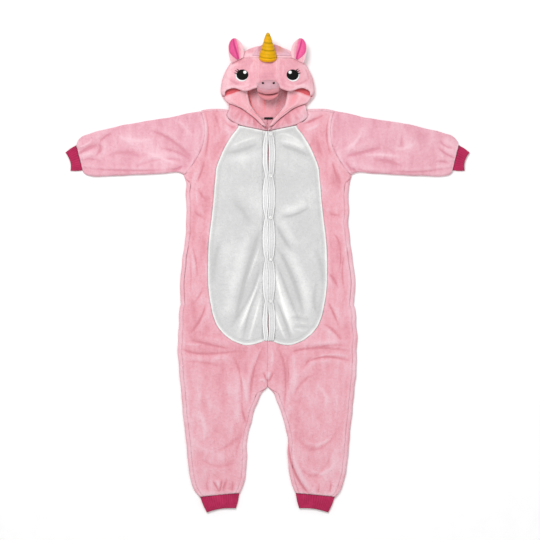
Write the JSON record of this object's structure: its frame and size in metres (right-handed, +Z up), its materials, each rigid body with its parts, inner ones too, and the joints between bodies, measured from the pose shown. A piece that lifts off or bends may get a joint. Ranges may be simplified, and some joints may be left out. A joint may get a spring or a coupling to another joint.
{
  "type": "unicorn onesie",
  "caption": "Child's hooded plush onesie laid flat, with a snapped front, rib cuffs and a hood shaped as a unicorn's head with horn, ears and muzzle.",
  "frame": {"origin": "on the surface that the garment lies on, under the middle of the laid-out shape", "axes": "+X to the wearer's left, +Y from the feet to the hood, +Z up from the surface to the garment's front"},
  "size_m": [0.9714, 1.1522, 0.0721],
  "materials": {
    "pink_plush": "plush fleece with a soft short pile",
    "white_plush": "plush fleece with a soft short pile",
    "placket_band": "doubled plush fleece, topstitched",
    "magenta_rib": "rib knit",
    "gold_satin": "satin, stuffed",
    "muzzle_plush": "plush fleece, stuffed",
    "rose_plush": "short plush",
    "mane_plush": "short plush in coloured bands",
    "black_felt": "dense satin-stitched embroidery",
    "white_felt": "dense satin-stitched embroidery",
    "snap_plastic": "moulded, glossy",
    "label_tape": "woven tape, bare"
  },
  "bodies": {
    "root": {"ankle_cuff_left": "magenta_rib", "ankle_cuff_right": "magenta_rib", "back_left": "pink_plush", "back_right": "pink_plush", "belly_left": "white_plush", "belly_right": "white_plush", "ear_left": "pink_plush", "ear_lining_left": "rose_plush", "ear_lining_right": "rose_plush", "ear_right": "pink_plush", "eye_black_left": "black_felt", "eye_black_right": "black_felt", "eye_glint_left": "white_felt", "eye_glint_right": "white_felt", "eye_white_left": "white_felt", "eye_white_right": "white_felt", "face_centre": "pink_plush", "face_left": "pink_plush", "face_right": "pink_plush", "front_left": "pink_plush", "front_right": "pink_plush", "hood_back": "pink_plush", "hood_border_left": "pink_plush", "hood_border_right": "pink_plush", "hood_crown": "pink_plush", "hood_neck_left": "pink_plush", "hood_neck_right": "pink_plush", "horn": "gold_satin", "mane": "mane_plush", "muzzle_lip": "muzzle_plush", "muzzle_pad": "muzzle_plush", "neck_label": "label_tape", "nostril_left": "black_felt", "nostril_right": "black_felt", "placket_left": "placket_band", "placket_right": "placket_band", "sleeve_left": "pink_plush", "sleeve_right": "pink_plush", "snap_1": "snap_plastic", "snap_2": "snap_plastic", "snap_3": "snap_plastic", "snap_4": "snap_plastic", "snap_5": "snap_plastic", "wrist_cuff_left": "magenta_rib", "wrist_cuff_right": "magenta_rib"}
  },
  "joints": []
}
